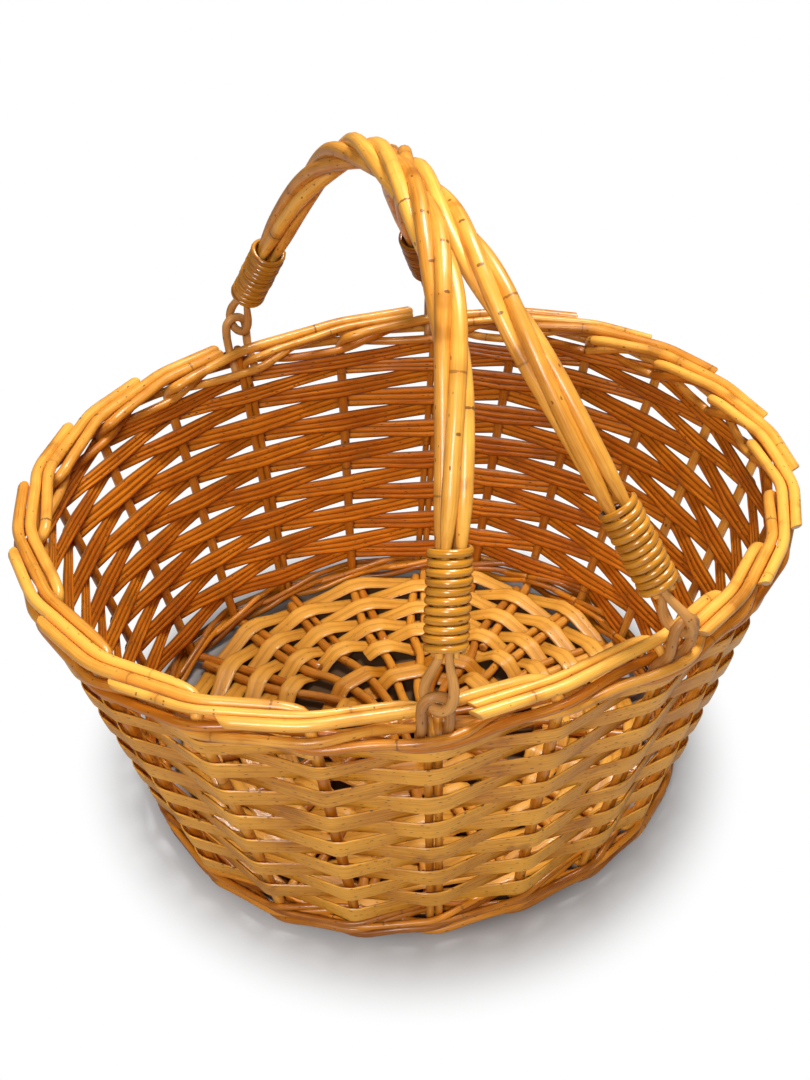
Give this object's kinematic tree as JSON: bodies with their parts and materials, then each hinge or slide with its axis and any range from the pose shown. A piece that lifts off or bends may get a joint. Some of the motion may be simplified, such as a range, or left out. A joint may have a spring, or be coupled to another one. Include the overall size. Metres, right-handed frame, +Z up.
{
  "type": "wicker shopping basket",
  "caption": "Oval woven willow basket with flaring sides, a thick laid border and two swing handles, each hooked on by linked rod eyes.",
  "frame": {"origin": "centre of the foot, on the ground", "axes": "+X along the basket, from the left handle's side to the right one's; +Y across it, away from the picture's viewer; +Z up"},
  "size_m": [0.4633, 0.3859, 0.4127],
  "materials": {
    "peeled_willow": "round willow rod, golden, satin varnish",
    "split_willow": "split willow, honey brown with dark flecks, satin varnish",
    "pale_split_willow": "wide split willow, pale, grooved, satin varnish",
    "weathered_willow": "bent willow rod, greyish brown, matt"
  },
  "bodies": {
    "basket": {"base_frame": "peeled_willow", "base_weaver_a": "pale_split_willow", "base_weaver_b": "pale_split_willow", "base_centre_weaver_a": "pale_split_willow", "base_centre_weaver_b": "pale_split_willow", "foot_wale_rod_1": "peeled_willow", "foot_wale_rod_2": "peeled_willow", "foot_wale_rod_3": "peeled_willow", "stake_01": "peeled_willow", "stake_02": "peeled_willow", "stake_03": "peeled_willow", "stake_04": "peeled_willow", "stake_05": "peeled_willow", "stake_06": "peeled_willow", "stake_07": "peeled_willow", "stake_08": "peeled_willow", "stake_09": "peeled_willow", "stake_10": "peeled_willow", "stake_11": "peeled_willow", "stake_12": "peeled_willow", "stake_13": "peeled_willow", "stake_14": "peeled_willow", "stake_15": "peeled_willow", "stake_16": "peeled_willow", "stake_17": "peeled_willow", "stake_18": "peeled_willow", "stake_19": "peeled_willow", "stake_20": "peeled_willow", "stake_21": "peeled_willow", "stake_22": "peeled_willow", "wall_weaver_a_lower": "split_willow", "wall_weaver_a_upper": "split_willow", "wall_weaver_b_lower": "split_willow", "wall_weaver_b_upper": "split_willow", "rim_wale_rod_1": "peeled_willow", "rim_wale_rod_2": "peeled_willow", "rim_wale_rod_3": "peeled_willow", "left_border_eye_near": "weathered_willow", "left_border_eye_far": "weathered_willow", "right_border_eye_near": "weathered_willow", "right_border_eye_far": "weathered_willow"},
    "handle_left": {"left_handle_rod_1": "peeled_willow", "left_handle_rod_2": "peeled_willow", "left_handle_rod_3": "peeled_willow", "left_handle_rod_4": "peeled_willow", "left_handle_eye_near": "weathered_willow", "left_handle_eye_far": "weathered_willow", "left_handle_binding_near": "split_willow", "left_handle_binding_far": "split_willow"},
    "handle_right": {"right_handle_rod_1": "peeled_willow", "right_handle_rod_2": "peeled_willow", "right_handle_rod_3": "peeled_willow", "right_handle_rod_4": "peeled_willow", "right_handle_eye_near": "weathered_willow", "right_handle_eye_far": "weathered_willow", "right_handle_binding_near": "split_willow", "right_handle_binding_far": "split_willow"}
  },
  "joints": [
    {"name": "left_handle_swing", "type": "hinge", "parent": "basket", "child": "handle_left", "pos_m": [-0.05757, 0.00111, 0.226], "axis": [-0.0378, -0.9993, 0], "range_deg": [0, 95]},
    {"name": "right_handle_swing", "type": "hinge", "parent": "basket", "child": "handle_right", "pos_m": [0.08233, -0.00262, 0.226], "axis": [0.0575, 0.9983, 0], "range_deg": [0, 105]}
  ]
}
